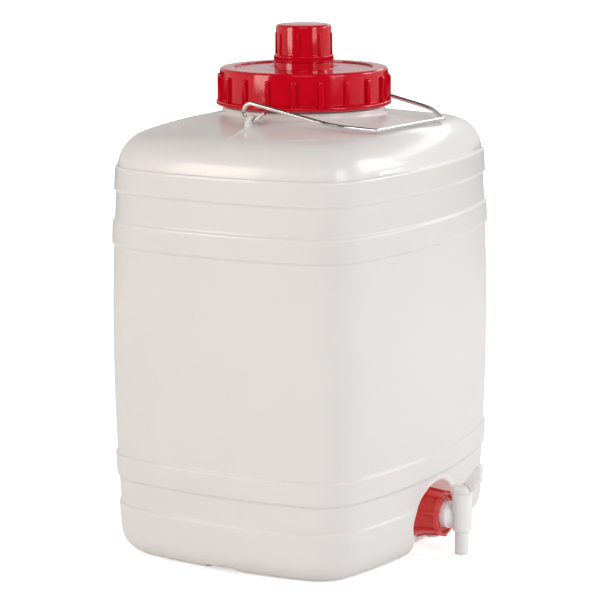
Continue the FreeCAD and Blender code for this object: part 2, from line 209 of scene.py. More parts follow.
stations = []
for sx, sy, front_list in ((1, 1, back_t), (-1, 1, back_t), (-1, -1, front_t), (1, -1, front_t)):
    walk = quadrant(front_list)
    if sx != sy:
        walk = [("front", 1.0)] + walk[:0:-1]
    stations += [(part, t, sx, sy) for part, t in walk]
print("stations", len(stations))


# %% [markdown]
# Two forms are pressed into the skin by height alone: the bands stand 1.6 mm proud with soft edges, and the
# channel under the base is a smooth step.

# %% Bands and channel
BANDS = ((-1.0, 38.0), (58.0, 75.2), (228.0, 244.8), (266.3, 283.9))
BAND_PROUD, BAND_SOFT = 1.6, 1.0
BASE_ROUND = 17.5


def smooth_step(x, low, high):
    x = min(max((x - low) / (high - low), 0.0), 1.0)
    return x * x * (3 - 2 * x)


def proud(z, soft=BAND_SOFT):
    """How far the bands stand out at a height."""
    rise = 0.0
    for low, high in BANDS:
        rise += smooth_step(z, low - soft, low + soft) - smooth_step(z, high - soft, high + soft)
    return BAND_PROUD * rise


def skin_inset(z, soft=BAND_SOFT):
    """How far the outside lies inside the plain plan: bands stand proud, and the base is rounded."""
    if z >= BASE_ROUND:
        return -proud(z, soft)
    return -BAND_PROUD + BASE_ROUND - math.sqrt(max(BASE_ROUND ** 2 - (BASE_ROUND - max(z, 0.0)) ** 2, 0.0))


def press_channel(y, z, inset):
    """Lifts a point of the base into the channel."""
    top = (4.0 + inset) * (1 - smooth_step(abs(y), 11.6 + inset, 13.6 + inset))
    return max(z, top)


# %% [markdown]
# The tap's niche is harder: an arch 63 mm wide and 21 mm deep, open at the base, with steep walls. Pushing
# points straight back would leave a steep wall without points. A better way is to see the niche in section,
# as a path from the skin round the rim, down the wall and round to the floor, and to share out the points
# near the rim evenly along that path. Each point keeps its direction from the arch's centre. At the skin the
# arch is a little lower and narrower towards the base, and the band's step fades out before the rim.

# %% The niche
TAP_Z = 28.5
NICHE_FLOOR, NICHE_HALF, ARCH_Z, TOE_ROUND = 92.5, 31.5, 20.0, 8.0
FLARE = math.radians(15)
WALL_TURN = math.pi / 2 - FLARE
FROM_IN, FROM_OUT, FROM_FAR = 20.0, 46.0, 60.0
TO_IN, TO_OUT = 26.5, 41.0
RIM_ROUND = 2.6
LOWER, PINCH = 0.13, 0.13
PINCH_FULL, PINCH_NONE = 8.0, 30.0
FADE_SOFT, FADE_FROM, FADE_TO = 7.0, 38.0, 45.0
FADE_LOW, FADE_HIGH = 42.0, 50.0


def front_of(x, z, inset):
    """How far forward the front's arc lies at a height, moved in by inset."""
    sag = (z - MID_Z) ** 2 / (2 * BARREL_R)
    return math.sqrt((FRONT_R - inset) ** 2 - x * x) - FRONT_R + DEPTH / 2 - sag


def floor_of(z, skin):
    """How far forward the niche's floor lies: it rounds under to the base."""
    up = TOE_ROUND - max(z, skin)
    if up <= 0:
        return NICHE_FLOOR - skin
    return NICHE_FLOOR - TOE_ROUND + math.sqrt(max((TOE_ROUND - skin) ** 2 - up * up, 0.0))


def niche_section(share, depth, rim, foot):
    """The section's path at a share of its length: how far out from the centre, and how deep."""
    round_by = min(RIM_ROUND, depth / (2 * (1 - math.cos(WALL_TURN))))
    straight = (depth - 2 * round_by * (1 - math.cos(WALL_TURN))) / math.sin(WALL_TURN)
    lead = round_by * math.tan(WALL_TURN / 2)
    legs = [TO_OUT - rim - lead, round_by * WALL_TURN, straight, round_by * WALL_TURN, foot - lead - TO_IN]
    out, deep, left = TO_OUT, 0.0, share * sum(legs)
    for leg, start, end in zip(legs, (0, 0, WALL_TURN, WALL_TURN, 0), (0, WALL_TURN, WALL_TURN, 0, 0)):
        run = min(left, leg)
        turn = (end - start) * (run / leg if leg > 0 else 0)
        if abs(turn) > 1e-6:
            out -= run / turn * (math.sin(start + turn) - math.sin(start))
            deep += run / turn * (math.cos(start) - math.cos(start + turn))
        else:
            out, deep = out - run * math.cos(start), deep + run * math.sin(start)
        left -= run
    return out, deep


def press_niche(x, y, z, skin):
    """Moves a point of the front wall or the base onto the niche; skin is 0 outside, and the wall inside."""
    above = max(z - ARCH_Z, 0.0)
    away = math.hypot(x, above)
    if away >= FROM_FAR:
        return x, y, z
    level = z if skin == 0 else max(z, skin)
    flat = -y < front_of(x, z, skin_inset(z) + skin) - 0.05 or z <= skin
    front = -y if flat else front_of(x, z, skin_inset(z) + skin)
    floor = floor_of(level, skin)
    if front <= floor:
        return x, y, z
    half = NICHE_HALF + skin * math.tan(WALL_TURN / 2)
    if away <= FROM_IN:
        out, deep = away * TO_IN / FROM_IN, front - floor
    elif away <= FROM_OUT:
        rim = half + max(front - NICHE_FLOOR + skin, 0.0) * math.tan(FLARE)
        share = (FROM_OUT - away) / (FROM_OUT - FROM_IN)
        out, deep = niche_section(share, front - floor, rim, half)
    else:
        out, deep = TO_OUT + (away - FROM_OUT) * (FROM_FAR - TO_OUT) / (FROM_FAR - FROM_OUT), 0.0
    grow = out / away if away > 0 else 1.0
    new_x, new_z = x * grow, z - above + above * grow
    share = 1 - deep / (front - floor)
    near = share * (1 - smooth_step(away, FROM_OUT, FROM_FAR))
    new_z -= (new_z - z + above) * LOWER * near if above > 0 else 0.0
    new_x *= 1 - PINCH * near * (1 - smooth_step(new_z, PINCH_FULL, PINCH_NONE))
    if not flat:
        faded = (1 - smooth_step(out, FADE_FROM, FADE_TO)) * (1 - smooth_step(new_z, FADE_LOW, FADE_HIGH))
        front = front_of(new_x, new_z, skin_inset(new_z, BAND_SOFT + FADE_SOFT * faded) + skin)
    return new_x, -(floor + (front - floor) * share), new_z


# %% [markdown]
# A ring is placed by a small function of a station, so the same extrusion serves for the sides, the rounded
# shoulder and the round neck. The shoulder's rounding is a rational quadratic curve, which draws a true arc.

# %% Rings of the body
RIDGE_HIGH = 1.3


def wall_ring(z, inset, skin=0.0):
    """A ring on the sides; skin tells the inside of the wall from the outside."""
    def place(part, t, sx, sy):
        x, y = plan_point(part, t, z, inset)
        x, y = x * sx, y * sy
        height = press_channel(y, z, skin)
        if sy < 0 and height < 90:
            return press_niche(x, y, height, skin)
        return x, y, height
    return place


def foot_ring(degrees, start, skin):
    """A ring on the rounding at the foot, which meets the wall at an inset of start."""
    a, r = math.radians(degrees), BASE_ROUND - skin
    return wall_ring(skin + r * (1 - math.cos(a)), start + r * (1 - math.sin(a)), skin)


def ridge(x, y):
    """The height of the parting line's ridge, which runs out from each lug over the shoulder."""
    along = smooth_step(x, 64.0, 70.0) * (1 - smooth_step(x, 84.0, 118.0))
    return RIDGE_HIGH * along * (1 - smooth_step(y, 0.5, 4.0))


def shoulder_ring(s, skin=0.0):
    """A ring on the rounded shoulder and the slope: s from 0 to 1 round the edge, then to 2 at the neck."""
    def place(part, t, sx, sy):
        edge_z = EDGE_Z - skin
        ex, ey = plan_point(part, t, edge_z, skin)
        a = math.atan2(ey, ex)
        root_r = NECK_ROOT - skin
        root = Vector((root_r * math.cos(a), root_r * math.sin(a), ROOT_Z - skin))
        edge = Vector((ex, ey, edge_z))
        slope = (root - edge).normalized()
        turn = math.acos(slope.z)
        tangent = (EDGE_ROUND - skin) * math.tan(turn / 2)
        wx, wy = plan_point(part, t, edge_z - tangent, skin)
        start, end = Vector((wx, wy, edge_z - tangent)), edge + slope * tangent
        if s <= 1:
            w = math.cos(turn / 2)
            p = (start * (1 - s) ** 2 + edge * (2 * s * (1 - s) * w) + end * s * s)
            p /= (1 - s) ** 2 + 2 * s * (1 - s) * w + s * s
        else:
            p = end.lerp(root, s - 1)
        return p.x * sx, p.y * sy, p.z + (ridge(p.x, p.y) if skin == 0 else 0.0)
    return place


def round_ring(radius, z):
    """A ring on the neck."""
    def place(part, t, sx, sy):
        x, y = plan_point(part, t, EDGE_Z, 0.0)
        a = math.atan2(y, x)
        return radius * math.cos(a) * sx, radius * math.sin(a) * sy, z
    return place


# %% The order of the rings, outside and then inside
EDGES_Z = [z for band in BANDS for z in band if z > 0]
heights = [BASE_ROUND + 1.25 * i for i in range(40)] + [67.1 + 0.9 * i for i in range(15)]
heights += [84 + 7.2 * i for i in range(28)]
heights = [z for z in heights if all(abs(z - e) > 2.6 for e in EDGES_Z)]
heights += [e + d for e in EDGES_Z[:-1] for d in (-2.2, -1.1, -0.5, 0, 0.5, 1.1, 2.2)]
heights += [281.6, 282.8, 283.4, 283.9]
heights.sort()
base_rings = [wall_ring(0, inset) for inset in (20.0, 29.4)] + [wall_ring(z, inset) for z, inset in
              ((0.4, 30.2), (1.4, 30.9), (2.6, 31.3), (3.0, 32.2), (3.0, 36.0))]
outer_rings = [foot_ring(degrees, -BAND_PROUD, 0.0) for degrees in range(9, 90, 9)]
outer_rings += [wall_ring(z, -proud(z)) for z in heights]
outer_rings += [shoulder_ring(i / 10) for i in range(0, 11)] + [shoulder_ring(1 + i / 6) for i in range(1, 6)]
neck_profile = [(62.6, 314.9), (61.0, 315.3), (59.8, 316.1), (59.2, 317.2), (59.0, 318.6), (59.0, 320.4),
                (58.6, 320.8), (56.9, 320.8), (56.5, 321.2), (56.5, 330.0), (56.5, 342.4), (56.3, 342.8),
                (55.9, 343.0), (54.1, 343.0), (53.7, 342.8), (53.5, 342.4), (53.5, 330.0), (53.5, 318.0),
                (54.2, 315.0), (56.0, 313.6)]
inner_rings = [shoulder_ring(2 - i / 4, WALL) for i in range(1, 4)]
inner_rings += [shoulder_ring(1 - i / 6, WALL) for i in range(0, 7)]
inner_rings += [wall_ring(z, WALL, WALL) for z in
                [276 - 12 * i for i in range(16)] + [84, 78, 72] + [66 - 1.6 * i for i in range(30)]]
inner_rings += [foot_ring(degrees, WALL, WALL) for degrees in (75, 60, 45, 30, 15, 1)]
inner_rings += [wall_ring(z, inset, WALL) for z, inset in ((2.2, 28.0), (5.2, 31.0), (5.2, 36.0))]
print("rings outside", len(outer_rings), "inside", len(inner_rings))

# %% [markdown]
# Now the rings are extruded. The base is closed by sliding the last ring's points together along X, so its
# edges stay parallel to the channel, and the doubles on the middle line are merged. The inside follows the
# same way down from the neck, so the body is one closed skin with an even wall.

# %% Extruding the body
body_bm = bmesh.new()
station_layer = body_bm.verts.layers.int.new("station")
bmesh.ops.create_circle(body_bm, segments=len(stations), radius=100.0)
body_bm.verts.ensure_lookup_table()
start_place = wall_ring(0, -BAND_PROUD + BASE_ROUND)
for i, v in enumerate(sorted(body_bm.verts, key=lambda v: math.atan2(v.co.y, v.co.x) % (2 * math.pi))):
    v[station_layer] = i
    v.co = start_place(*stations[i])
start_edges = list(body_bm.edges)


def extrude_ring(bm, edges, place):
    """Extrudes a ring of edges and puts the new points where place says."""
    made = bmesh.ops.extrude_edge_only(bm, edges=edges)["geom"]
    for v in points_in(made):
        v.co = place(*stations[v[station_layer]])
    return open_edges_in(made)


def squeeze_shut(bm, edges):
    """Closes a ring by sliding its points together along X."""
    for factor in (0.8, 0.6, 0.4, 0.2, 0.0):
        made = bmesh.ops.extrude_edge_only(bm, edges=edges)["geom"]
        for v in points_in(made):
            v.co.x *= factor / (factor + 0.2)
        edges = open_edges_in(made)


ring = start_edges
for place in base_rings:
    ring = extrude_ring(body_bm, ring, place)
squeeze_shut(body_bm, ring)
ring = start_edges
for place in outer_rings + [round_ring(r, z) for r, z in neck_profile] + inner_rings:
    ring = extrude_ring(body_bm, ring, place)
squeeze_shut(body_bm, ring)
finish_piece(body_bm, "drum_shell", "drum", ["drum_body"], sharp=50)

# %% [markdown]
# ## Lugs, boss and threads on the body
#
# Two flat lugs stand on the parting line's ridge, moulded from pinched skin. Each is a plate with a hole,
# made by filling between its outline and a circle and giving that face its thickness. The tap's boss is a
# short tube in the niche. A thread is a small trapezium that a spin carries up as it turns.

# %% Lugs
LUG_X, LUG_TOP, LUG_FOOT, HOLE_Z = 74.8, 320.9, 309.0, 316.3
LUG_WIDTH, LUG_THICK, FOOT_FLARE = 9.6, 3.5, 1.9


def make_lug(side):
    bm = bmesh.new()
    plate = bmesh.ops.create_grid(bm, x_segments=1, y_segments=1, size=0.5)["verts"]
    bmesh.ops.scale(bm, verts=plate, vec=(LUG_WIDTH, LUG_TOP - LUG_FOOT, 1))
    for v in plate:
        v.co.x *= FOOT_FLARE if v.co.y < 0 else 1.0
    top = [v for v in plate if v.co.y > 0]
    bmesh.ops.bevel(bm, geom=top, offset=3.6, segments=7, profile=0.5, affect="VERTICES", material=-1)
    bmesh.ops.delete(bm, geom=list(bm.faces), context="FACES_ONLY")
    middle = (LUG_TOP + LUG_FOOT) / 2
    bmesh.ops.create_circle(bm, segments=28, radius=1.9, matrix=Matrix.Translation((0, HOLE_Z - middle, 0)))
    bmesh.ops.triangle_fill(bm, use_beauty=True, use_dissolve=False, edges=list(bm.edges))
    rim_edges = [e for e in bm.edges if e.is_boundary]
    grown = bmesh.ops.extrude_face_region(bm, geom=list(bm.faces))["geom"]
    bmesh.ops.translate(bm, verts=points_in(grown), vec=(0, 0, LUG_THICK))
    rim_edges += [g for g in grown if isinstance(g, bmesh.types.BMEdge)
                  and any(abs(f.normal.z) < 0.5 for f in g.link_faces)]
    round_edges(bm, rim_edges, 0.6, 2)
    bmesh.ops.translate(bm, verts=bm.verts, vec=(0, 0, -LUG_THICK / 2))
    bmesh.ops.rotate(bm, verts=bm.verts, cent=(0, 0, 0), matrix=Matrix.Rotation(math.radians(90), 3, "X"))
    bmesh.ops.translate(bm, verts=bm.verts, vec=(side * LUG_X, 0, middle))
    return bm


for side, word in ((-1, "left"), (1, "right")):
    finish_piece(make_lug(side), "bail_lug_" + word, "drum")


# %% Threads and the tap's boss
def make_thread(bm, radius, proud_by, height, pitch, turns, z):
    """A trapezium thread that climbs as it turns, closed at both ends."""
    low, high = height / 2, height / 2 - 0.45 * proud_by
    points = [(radius - 0.3, -low), (radius, -low), (radius + proud_by, -high), (radius + proud_by, high),
              (radius, low), (radius - 0.3, low)]
    face = bm.faces.new([bm.verts.new((r, 0, z + h)) for r, h in points])
    steps = int(72 * turns)
    bmesh.ops.spin(bm, geom=[face] + list(face.edges) + list(face.verts), cent=(0, 0, 0), axis=(0, 0, 1),
                   dvec=(0, 0, pitch / 72), angle=2 * math.pi * turns, steps=steps)


def lay_forward(bm, y, z):
    """Turns an upright form to point forward, with its foot at y and its axis at height z."""
    bmesh.ops.rotate(bm, verts=bm.verts, cent=(0, 0, 0), matrix=Matrix.Rotation(math.radians(90), 3, "X"))
    bmesh.ops.translate(bm, verts=bm.verts, vec=(0, y, z))


neck_thread = bmesh.new()
make_thread(neck_thread, 56.5, 1.9, 2.6, 6.0, 2.4, 325.0)
finish_piece(neck_thread, "neck_thread", "drum")
boss_bm = bmesh.new()
turn_profile(boss_bm, [(9.0, -1.5, 0), (13.2, -1.5, 0), (13.2, 19.5, 0.5), (9.0, 19.5, 0.5)], steps=72)
lay_forward(boss_bm, -NICHE_FLOOR, TAP_Z)
finish_piece(boss_bm, "tap_boss", "drum")

# %% [markdown]
# ## The screw lid
#
# The lid is one red moulding: a skirt, a flat top that is sunk a little inside its rim, and a hollow spout in
# the middle. Its section never touches the axis, so a closed profile gives a closed ring. The grip ribs are
# small blocks with a big rounding on top. One is made and then copied round.

# %% Lid
lid_bm = bmesh.new()
lid_profile = [
    (14.9, 345.0, 0), (59.2, 345.0, 0), (59.2, 322.3, 0.5), (63.7, 322.3, 0.9), (63.7, 325.2, 1.2),
    (61.2, 325.9, 0.6), (61.0, 348.8, 1.9), (50.4, 348.8, 0.4), (50.4, 347.6, 0.4), (21.4, 347.6, 0.5),
    (21.4, 352.5, 0.3), (17.5, 352.5, 0.5), (17.5, 375.2, 0.5), (14.9, 375.2, 0.5)]
turn_profile(lid_bm, lid_profile, steps=180)


def make_rib(bm, radius, proud_by, width, low, high, top_round, side_round, lean=0.0):
    """A block rib on the X side: leaning back by lean at its top, rounded over its top and sides."""
    sunk = 1.4
    verts = bmesh.ops.create_cube(bm, size=1.0)["verts"]
    bmesh.ops.scale(bm, verts=verts, vec=(proud_by + sunk, width, high - low))
    bmesh.ops.translate(bm, verts=verts, vec=(radius + (proud_by - sunk) / 2, 0, (low + high) / 2))
    for v in verts:
        if v.co.z > (low + high) / 2 and v.co.x > radius:
            v.co.x -= lean
    edges = {e for v in verts for e in v.link_edges}
    outer_top = [e for e in edges if all(v.co.x > radius - lean and v.co.z > high - 0.01 for v in e.verts)
                 and abs(e.verts[0].co.x - e.verts[1].co.x) < 0.01]
    made = bmesh.ops.bevel(bm, geom=outer_top, offset=top_round, segments=5, profile=0.5, affect="EDGES",
                           material=-1)
    region = {f for v in verts if v.is_valid for f in v.link_faces} | set(made["faces"])
    sides = {e for f in region for e in f.edges if len({round(v.co.y, 3) for v in e.verts}) == 1
             and e.calc_face_angle(0) > 0.9 and max(v.co.x for v in e.verts) > radius - 0.2}
    bmesh.ops.bevel(bm, geom=list(sides), offset=side_round, segments=3, profile=0.5, affect="EDGES",
                    material=-1)


def make_ribs(radius, proud_by, width, low, high, count, phase, top_round, side_round, lean=0.0):
    """All the ribs of a cap, as a bmesh of their own."""
    bm = bmesh.new()
    make_rib(bm, radius, proud_by, width, low, high, top_round, side_round, lean)
    array_round(bm, all_of(bm), count)
    bmesh.ops.rotate(bm, verts=bm.verts, cent=(0, 0, 0), matrix=Matrix.Rotation(math.radians(phase), 3, "Z"))
    return bm


def join_bmesh(bm, other):
    """Adds another bmesh's geometry to this one."""
    spare = bpy.data.meshes.new("spare")
    other.to_mesh(spare)
    other.free()
    bm.from_mesh(spare)
    bpy.data.meshes.remove(spare)


join_bmesh(lid_bm, make_ribs(61.1, 2.3, 3.2, 323.6, 343.9, 20, 4.7, 1.9, 0.8))
spout_thread = bmesh.new()
make_thread(spout_thread, 17.5, 0.35, 1.6, 3.0, 3.0, 361.5)
join_bmesh(lid_bm, spout_thread)
finish_piece(lid_bm, "screw_lid_red", "screw_lid", ["lid"])

# %% [markdown]
# ## The small cap
#
# The same moulding in small: a ring at the foot, a skirt, and slim ribs that grow out of the skirt
# towards the ring, so their blocks lean back at the top.

# %% Cap
cap_bm = bmesh.new()
cap_profile = [
    (0.0, 376.7, 0), (17.9, 376.7, 0), (17.9, 352.7, 0.3), (21.7, 352.7, 0.3), (21.7, 357.4, 0.8),
    (20.2, 358.1, 0.5), (20.0, 379.5, 2.0), (0.0, 379.5, 0)]
turn_profile(cap_bm, cap_profile, steps=120, closed=False)
join_bmesh(cap_bm, make_ribs(20.2, 0.95, 1.5, 356.8, 373.6, 8, 18.6, 0.6, 0.35, lean=0.15))
finish_piece(cap_bm, "spout_cap_red", "small_cap", ["spout_cap"])

# %% [markdown]
# ## The wire bail
#
# A wire is bent on a bench as a row of straight runs and turns, and it can be modelled in the same way. A
# small circle is the wire's section. Extruding it draws a straight run, and spinning it about a bend's
# centre makes a turn. Half the bail is bent flat and mirrored. A hand-bent bail is never quite even, so its
# grip lies a little askew, and the whole is laid down on the shoulder.

# %% Wire tools
WIRE_R, EYE_R, REACH = 1.5, 6.35, 74.8
PIVOT_Z, REST_TILT = 322.65, 11.75
EYE_TURN, TAIL = math.radians(226.8), 9.0
LEAN_BEND, ARM_BEND, GRIP_BEND = 40.0, 26.0, 5.5
SKEW, SKEW_FROM = 0.0006, -8.0


def run_wire(bm, ring, way):
    """Draws a straight run of wire."""
    made = bmesh.ops.extrude_edge_only(bm, edges=ring)["geom"]
    bmesh.ops.translate(bm, verts=points_in(made), vec=way)
    return open_edges_in(made)


def bend_wire(bm, ring, centre, axis, angle, steps):
    """Turns the wire about a bend's centre."""
    verts = list({v for e in ring for v in e.verts})
    last = bmesh.ops.spin(bm, geom=verts + list(ring), cent=centre, axis=axis, angle=angle, steps=steps,
                          use_merge=False)["geom_last"]
    return [g for g in last if isinstance(g, bmesh.types.BMEdge)]


def corner_of(before, corner, after, radius):
    """Where a rounded corner starts and ends, its centre, its axis and how far it turns."""
    a, b = (before - corner).normalized(), (after - corner).normalized()
    half = a.angle(b) / 2
    centre = corner + (a + b).normalized() * (radius / math.sin(half))
    axis = (-a).cross(b).normalized()
    reach = radius / math.tan(half)
    return corner + a * reach, corner + b * reach, centre, axis, math.pi - 2 * half


# %% Bending the bail
bail_bm = bmesh.new()
tail_angle = math.radians(90.0) - EYE_TURN
tail_start = Vector((-REACH, EYE_R * math.cos(tail_angle), EYE_R * math.sin(tail_angle)))
tail_way = Vector((0, math.sin(tail_angle), -math.cos(tail_angle)))
eye_top = Vector((-REACH, 0, EYE_R))
arm_corner = Vector((-70.6, -66.0, EYE_R))
grip_corner = Vector((-48.0, -87.5, EYE_R))
grip_middle = Vector((0, -87.5, EYE_R))
facing = tail_way.to_track_quat("Z", "X").to_matrix().to_4x4()
bmesh.ops.create_circle(bail_bm, segments=20, radius=WIRE_R,
                        matrix=Matrix.Translation(tail_start + tail_way * TAIL) @ facing)
wire_end = list(bail_bm.edges)
ring = run_wire(bail_bm, wire_end, tail_way * -TAIL)
bmesh.ops.edgeloop_fill(bail_bm, edges=wire_end)
ring = bend_wire(bail_bm, ring, (-REACH, 0, 0), (1, 0, 0), EYE_TURN, 30)
behind_eye = eye_top + Vector((0, 3.0, 0))
lean_in, lean_out, centre, axis, angle = corner_of(behind_eye, eye_top, arm_corner, LEAN_BEND)
ring = bend_wire(bail_bm, ring, centre - lean_in + eye_top, axis, angle, 3)
start = eye_top + lean_out - lean_in
bend_in, bend_out, centre, axis, angle = corner_of(start, arm_corner, grip_corner, ARM_BEND)
ring = run_wire(bail_bm, ring, bend_in - start)
ring = bend_wire(bail_bm, ring, centre, axis, angle, 16)
turn_in, turn_out, centre, axis, angle = corner_of(arm_corner, grip_corner, grip_middle, GRIP_BEND)
ring = run_wire(bail_bm, ring, turn_in - bend_out)
ring = bend_wire(bail_bm, ring, centre, axis, angle, 12)
ring = run_wire(bail_bm, ring, grip_middle - turn_out)
bmesh.ops.mirror(bail_bm, geom=all_of(bail_bm), matrix=Matrix.Identity(4), merge_dist=0.01, axis="X")
for v in bail_bm.verts:
    v.co.y *= 1 + SKEW * v.co.x if v.co.y < SKEW_FROM else 1.0
bmesh.ops.rotate(bail_bm, verts=bail_bm.verts, cent=(0, 0, 0),
                 matrix=Matrix.Rotation(math.radians(REST_TILT), 3, "X"))
bmesh.ops.translate(bail_bm, verts=bail_bm.verts, vec=(0, 0, PIVOT_Z))
finish_piece(bail_bm, "wire_bail", "bail", ["bail_handle"])

# %% [markdown]
# ## The tap
#
# A red ring nut pulls the tap's flange against the boss. It has a flared skirt at the back, a slimmer front
# with a collar, and seven ribs that run over the collar and end there as nubs. The ribs are plates that
# start inside the nut, and their outer corners follow the nut's profile. It is turned upright and then laid
# forward.

# %% Ring nut
NUT_BACK, NUT_RIBS, FIRST_RIB, RIB_WIDE = -93.5, 7, math.radians(65.1), 2.2
nut_bm = bmesh.new()
nut_profile = [
    (13.5, 0.0, 0), (19.6, 0.0, 0.6), (17.5, 4.0, 2.0), (15.9, 8.5, 3.0), (14.6, 20.4, 0.3),
    (15.9, 20.9, 0.4), (15.7, 24.5, 0.6), (14.2, 24.5, 0.4), (13.5, 21.8, 0.3), (12.4, 21.8, 0.3),
    (12.1, 23.6, 0.4), (10.4, 23.6, 0.4), (10.4, 21.3, 0), (13.5, 21.3, 0)]
turn_profile(nut_bm, nut_profile, steps=112)
rib_bm = bmesh.new()
rib_line = [(13.9, 1.0), (20.9, 0.1), (19.2, 4.2), (17.9, 8.5), (16.9, 20.0), (17.0, 24.2), (14.6, 24.2)]
rib_face = rib_bm.faces.new([rib_bm.verts.new((r, -RIB_WIDE / 2, z)) for r, z in rib_line])
grown = bmesh.ops.extrude_face_region(rib_bm, geom=[rib_face])["geom"]
bmesh.ops.translate(rib_bm, verts=points_in(grown), vec=(0, RIB_WIDE, 0))
round_edges(rib_bm, list(rib_bm.edges), 0.35, 2)
array_round(rib_bm, all_of(rib_bm), NUT_RIBS)
bmesh.ops.rotate(rib_bm, verts=rib_bm.verts, cent=(0, 0, 0), matrix=Matrix.Rotation(FIRST_RIB, 3, "Z"))
join_bmesh(nut_bm, rib_bm)
lay_forward(nut_bm, NUT_BACK, TAP_Z)
finish_piece(nut_bm, "tap_ring_nut", "drum", ["tap_nut"])

# %% [markdown]
# The tap's body is one moulding: a flange and a round neck that point forward, a slim hub, and an upright
# barrel that widens towards its top and steps down to the outlet. Both are turned, and the neck is laid
# forward into the barrel.

# %% Tap body
TAP_Y, FLANGE_Y = -130.3, -113.5
tap_bm = bmesh.new()
turn_profile(tap_bm, [
    (0.0, 0.0, 0), (12.6, 0.0, 0.3), (12.6, 2.5, 0.3), (10.0, 2.5, 0), (10.0, 7.4, 0.9), (8.0, 8.6, 1.0),
    (6.3, 10.6, 1.5), (6.0, 16.0, 0), (0.0, 16.0, 0)], steps=80, closed=False)
lay_forward(tap_bm, FLANGE_Y, TAP_Z)
barrel_bm = bmesh.new()
turn_profile(barrel_bm, [
    (0.0, 16.0, 0), (3.4, 16.0, 0), (3.4, 1.0, 0.5), (5.1, 1.0, 0.6), (5.0, 17.2, 0.5), (6.85, 18.2, 0.8),
    (7.6, 46.6, 0.1), (0.0, 46.6, 0)], steps=72, closed=False)
bmesh.ops.translate(barrel_bm, verts=barrel_bm.verts, vec=(0, TAP_Y, 0))
join_bmesh(tap_bm, barrel_bm)
finish_piece(tap_bm, "tap_moulding", "drum", ["tap_body"])

# %% [markdown]
# The plug shows as a domed head with a thumb blade that leans out over the outlet. The blade is a flat
# profile given its thickness, with all its edges rounded.

# %% Tap plug
BLADE_WIDE = 4.4
plug_bm = bmesh.new()
turn_profile(plug_bm, [
    (0.0, 30.0, 0), (5.0, 30.0, 0), (5.4, 46.7, 0), (7.65, 46.7, 0.1), (7.8, 53.2, 5.4),
    (0.0, 53.2, 0)], steps=72, closed=False)
bmesh.ops.translate(plug_bm, verts=plug_bm.verts, vec=(0, TAP_Y, 0))
blade_bm = bmesh.new()
blade_profile = [(0, 47.2), (7.4, 47.2), (11.2, 50.5), (16.2, 57.7), (16.2, 68.5), (12.9, 68.5), (0, 51.8)]
blade_points = [(-BLADE_WIDE / 2, TAP_Y - forward, z) for forward, z in blade_profile]
blade_face = blade_bm.faces.new([blade_bm.verts.new(point) for point in blade_points])
grown = bmesh.ops.extrude_face_region(blade_bm, geom=[blade_face])["geom"]
bmesh.ops.translate(blade_bm, verts=points_in(grown), vec=(BLADE_WIDE, 0, 0))
round_edges(blade_bm, list(blade_bm.edges), 1.0, 3)
join_bmesh(plug_bm, blade_bm)
finish_piece(plug_bm, "tap_key_lever", "tap_key", ["tap_plug"])

# %% [markdown]
# ## Finishes
#
# Shader maths reads best as plain Python. A Signal wraps one socket, and its operators add Math nodes, also
# where a number stands on the left. A Recipe holds one material or world, and one method adds any node.

# %% Shader maths
class Signal:
    """A number, colour or vector on its way through a material."""

    def __init__(self, recipe, socket):
        self.recipe, self.socket = recipe, socket

    def maths(self, operation, *values):
        inputs = {i: v for i, v in enumerate(values)}
        return self.recipe.node("Math", inputs, operation=operation)

    def __add__(self, other):
        return self.maths("ADD", self, other)

    def __sub__(self, other):
        return self.maths("SUBTRACT", self, other)

    def __rsub__(self, other):
        return self.maths("SUBTRACT", other, self)

    def __mul__(self, other):
        return self.maths("MULTIPLY", self, other)

    __radd__ = __add__
    __rmul__ = __mul__

    def __abs__(self):
        return self.maths("ABSOLUTE", self)

    def below(self, edge, soft):
        """1 where the number is under edge, falling smoothly to 0 over soft."""
        values = {"Value": self, "From Min": edge, "From Max": edge + soft, "To Min": 1.0, "To Max": 0.0}
        return self.recipe.node("MapRange", values, interpolation_type="SMOOTHSTEP")


class Recipe:
    """A material or a world, built node by node."""

    def __init__(self, name, library=bpy.data.materials, output="OutputMaterial"):
        self.made, self.output = library.new(name), output
        self.made.use_nodes = True
        self.tree = self.made.node_tree
        self.tree.nodes.clear()

    def node(self, kind, inputs=(), out=0, stops=(), **settings):
        made = self.tree.nodes.new("ShaderNode" + kind)
        for key, value in settings.items():
            setattr(made, key, value)
        if stops:
            ramp = made.color_ramp.elements
            while len(ramp) < len(stops):
                ramp.new(0.5)
            for element, (position, colour) in zip(ramp, stops):
                element.position, element.color = position, (*colour, 1.0)
        for key, value in dict(inputs).items():
            if isinstance(value, Signal):
                self.tree.links.new(value.socket, made.inputs[key])
            else:
                made.inputs[key].default_value = value
        return None if out is None else Signal(self, made.outputs[out])

    def place(self):
        """The point on the piece, in metres."""
        return self.node("TexCoord", out="Object")

    def finish(self, surface):
        self.node(self.output, {"Surface": surface}, out=None)
        return self.made
